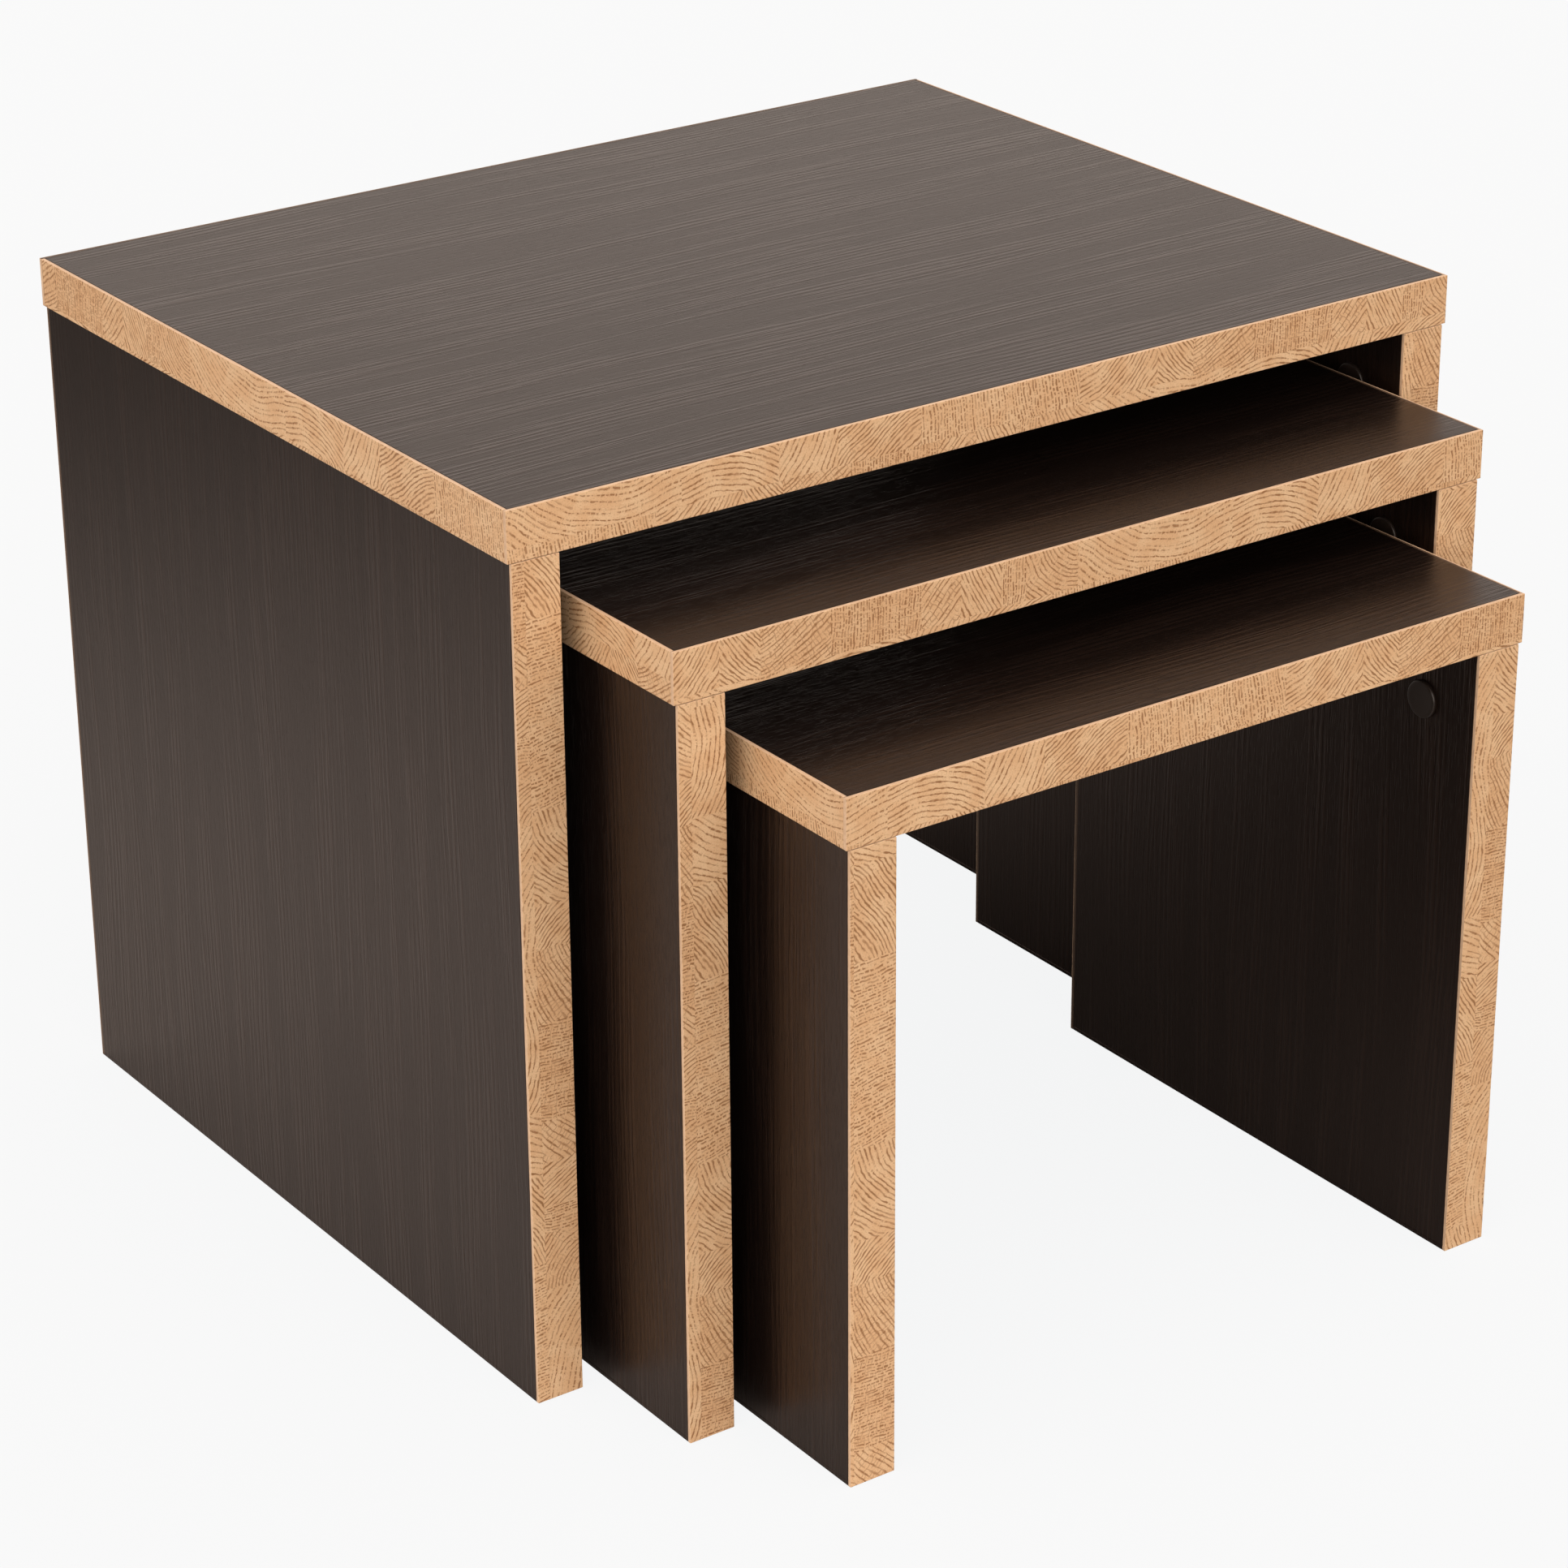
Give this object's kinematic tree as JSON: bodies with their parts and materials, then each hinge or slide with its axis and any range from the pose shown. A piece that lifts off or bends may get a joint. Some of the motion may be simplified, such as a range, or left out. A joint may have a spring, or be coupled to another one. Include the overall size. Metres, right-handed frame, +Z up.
{
  "type": "nesting tables",
  "caption": "Nest of low side tables, each an inverted U of dark woodgrain boards with light end-grain edge bands, that slide under one another to save floor space.",
  "frame": {"origin": "on the floor, under the middle of the nest's box as it stands with the two smaller tables partly drawn out", "axes": "+X to the right as seen from the front, +Y to the back, so every front faces -Y and the tables draw out along -Y, +Z up"},
  "size_m": [0.55, 0.585, 0.452],
  "materials": {
    "top_board": "dark woodgrain foil on chipboard, satin, fine embossed straight grain across the width",
    "leg_board": "dark woodgrain foil on chipboard, satin, fine embossed grain running up the leg",
    "edge_band": "light oak end-grain print on a 2 mm band, satin",
    "cover_cap": "dark brown moulded cap, semi-matt",
    "cam_lock": "die-cast zinc, dull grey",
    "cam_bolt": "zinc-plated steel",
    "dowel": "plain beech, unfinished"
  },
  "bodies": {
    "large_table": {"large_top_panel": "top_board", "large_top_edge_band": "edge_band", "large_left_leg_panel": "leg_board", "large_left_leg_edge_band": "edge_band", "large_left_front_cam_lock": "cam_lock", "large_left_front_cam_bolt": "cam_bolt", "large_left_front_cover_cap": "cover_cap", "large_left_rear_cam_lock": "cam_lock", "large_left_rear_cam_bolt": "cam_bolt", "large_left_rear_cover_cap": "cover_cap", "large_left_dowel": "dowel", "large_right_leg_panel": "leg_board", "large_right_leg_edge_band": "edge_band", "large_right_front_cam_lock": "cam_lock", "large_right_front_cam_bolt": "cam_bolt", "large_right_front_cover_cap": "cover_cap", "large_right_rear_cam_lock": "cam_lock", "large_right_rear_cam_bolt": "cam_bolt", "large_right_rear_cover_cap": "cover_cap", "large_right_dowel": "dowel"},
    "medium_table": {"medium_top_panel": "top_board", "medium_top_edge_band": "edge_band", "medium_left_leg_panel": "leg_board", "medium_left_leg_edge_band": "edge_band", "medium_left_front_cam_lock": "cam_lock", "medium_left_front_cam_bolt": "cam_bolt", "medium_left_front_cover_cap": "cover_cap", "medium_left_rear_cam_lock": "cam_lock", "medium_left_rear_cam_bolt": "cam_bolt", "medium_left_rear_cover_cap": "cover_cap", "medium_left_dowel": "dowel", "medium_right_leg_panel": "leg_board", "medium_right_leg_edge_band": "edge_band", "medium_right_front_cam_lock": "cam_lock", "medium_right_front_cam_bolt": "cam_bolt", "medium_right_front_cover_cap": "cover_cap", "medium_right_rear_cam_lock": "cam_lock", "medium_right_rear_cam_bolt": "cam_bolt", "medium_right_rear_cover_cap": "cover_cap", "medium_right_dowel": "dowel"},
    "small_table": {"small_top_panel": "top_board", "small_top_edge_band": "edge_band", "small_left_leg_panel": "leg_board", "small_left_leg_edge_band": "edge_band", "small_left_front_cam_lock": "cam_lock", "small_left_front_cam_bolt": "cam_bolt", "small_left_front_cover_cap": "cover_cap", "small_left_rear_cam_lock": "cam_lock", "small_left_rear_cam_bolt": "cam_bolt", "small_left_rear_cover_cap": "cover_cap", "small_left_dowel": "dowel", "small_right_leg_panel": "leg_board", "small_right_leg_edge_band": "edge_band", "small_right_front_cam_lock": "cam_lock", "small_right_front_cam_bolt": "cam_bolt", "small_right_front_cover_cap": "cover_cap", "small_right_rear_cam_lock": "cam_lock", "small_right_rear_cam_bolt": "cam_bolt", "small_right_rear_cover_cap": "cover_cap", "small_right_dowel": "dowel"}
  },
  "joints": [
    {"name": "medium_slide", "type": "slide", "parent": "large_table", "child": "medium_table", "axis": [0, -1, 0], "range_m": [-0.071, 0.4]},
    {"name": "small_slide", "type": "slide", "parent": "large_table", "child": "small_table", "axis": [0, -1, 0], "range_m": [-0.145, 0.7]}
  ]
}
